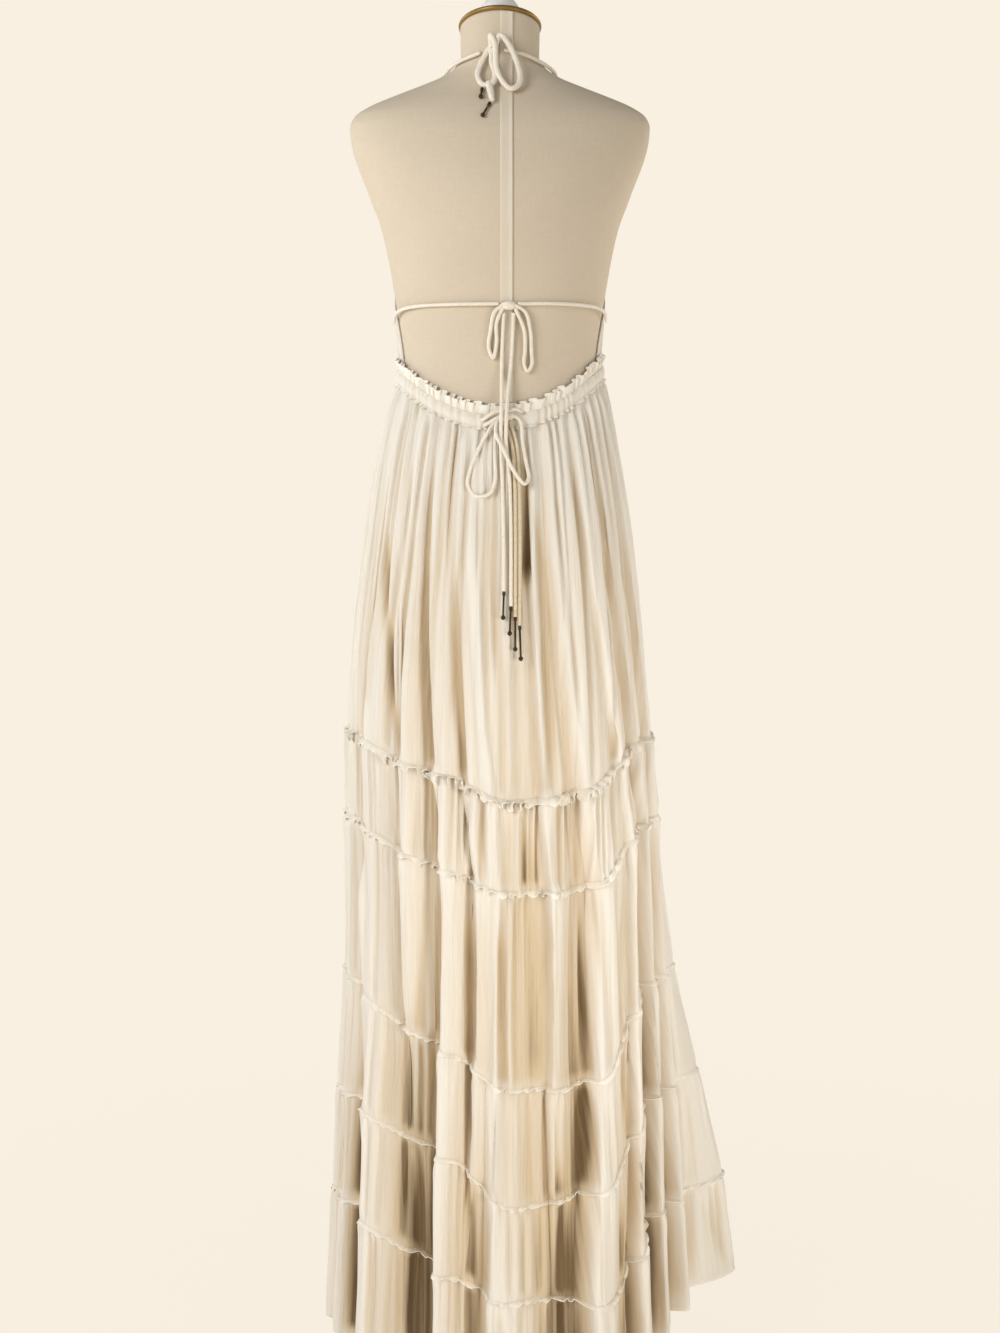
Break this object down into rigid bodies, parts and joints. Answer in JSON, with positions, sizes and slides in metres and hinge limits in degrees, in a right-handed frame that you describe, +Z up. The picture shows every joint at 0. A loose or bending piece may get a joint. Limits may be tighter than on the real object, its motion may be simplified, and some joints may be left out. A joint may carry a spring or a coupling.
{
  "type": "tiered halter maxi dress on a limbless dress form",
  "caption": "Backless halter maxi dress with a gathered waist and ruffle-edged tiers, hung on a linen dress form with a pole and a round base.",
  "frame": {"origin": "centre of the base's underside, on the floor", "axes": "+Z up, -Y out of the open back of the dress, +X to the right seen from behind"},
  "size_m": [0.5209, 0.4573, 1.6709],
  "materials": {
    "gauze": "cream crinkle gauze",
    "cord": "soft cream cord",
    "bronze_tip": "dark aged bronze",
    "linen": "plain beige linen",
    "form_tape": "pale cotton tape",
    "neck_rim": "dull brass",
    "neck_knob": "pale satin",
    "stand": "dark satin paint"
  },
  "bodies": {
    "root": {"skirt_upper": "gauze", "skirt_tier_2": "gauze", "skirt_tier_3": "gauze", "skirt_tier_4": "gauze", "skirt_tier_5": "gauze", "skirt_tier_6": "gauze", "seam_frill_1": "gauze", "seam_frill_2": "gauze", "seam_frill_3": "gauze", "seam_frill_4": "gauze", "seam_frill_5": "gauze", "waist_casing": "gauze", "waist_heading": "gauze", "bodice_front": "gauze", "neck_casing": "gauze", "neck_cord_left": "cord", "neck_cord_right": "cord", "neck_bow": "cord", "back_tie_left": "cord", "back_tie_right": "cord", "back_tie_bow": "cord", "back_tie_end_left": "cord", "back_tie_end_right": "cord", "drawstring_bow": "cord", "drawstring_end_inner": "cord", "drawstring_end_outer": "cord", "neck_tip_long": "bronze_tip", "neck_tip_short": "bronze_tip", "back_tie_tip_left": "bronze_tip", "back_tie_tip_right": "bronze_tip", "drawstring_tip_inner": "bronze_tip", "drawstring_tip_outer": "bronze_tip", "form_torso": "linen", "form_back_tape": "form_tape", "form_neck_rim": "neck_rim", "form_neck_knob": "neck_knob", "stand_pole": "stand", "stand_base": "stand"}
  },
  "joints": []
}
